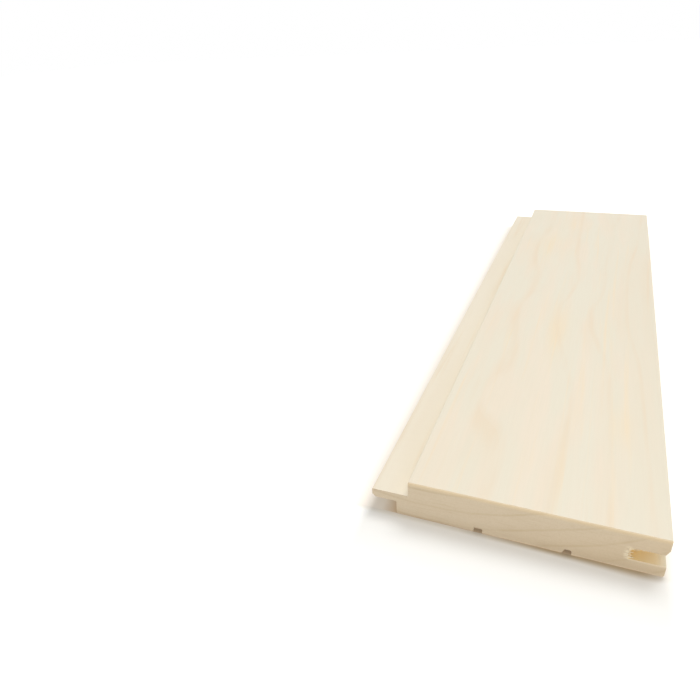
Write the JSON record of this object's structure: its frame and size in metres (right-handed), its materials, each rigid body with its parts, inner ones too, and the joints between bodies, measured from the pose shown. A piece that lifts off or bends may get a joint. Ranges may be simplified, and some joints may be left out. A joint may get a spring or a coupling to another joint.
{
  "type": "tongue and groove cladding board",
  "caption": "Flat planed wood cladding board with a tongue along one edge, a groove along the other for shadow-gap joints, and shallow relief grooves on its back.",
  "frame": {"origin": "middle of the board's bounding box, at the plane of its back, which is the surface that it lies on", "axes": "+Y along the board's length, +X from the tongue towards the groove, +Z out of the visible face"},
  "size_m": [0.093, 0.335, 0.015],
  "materials": {
    "planed_aspen": "planed, uncoated"
  },
  "bodies": {
    "root": {"cladding_board": "planed_aspen"}
  },
  "joints": []
}
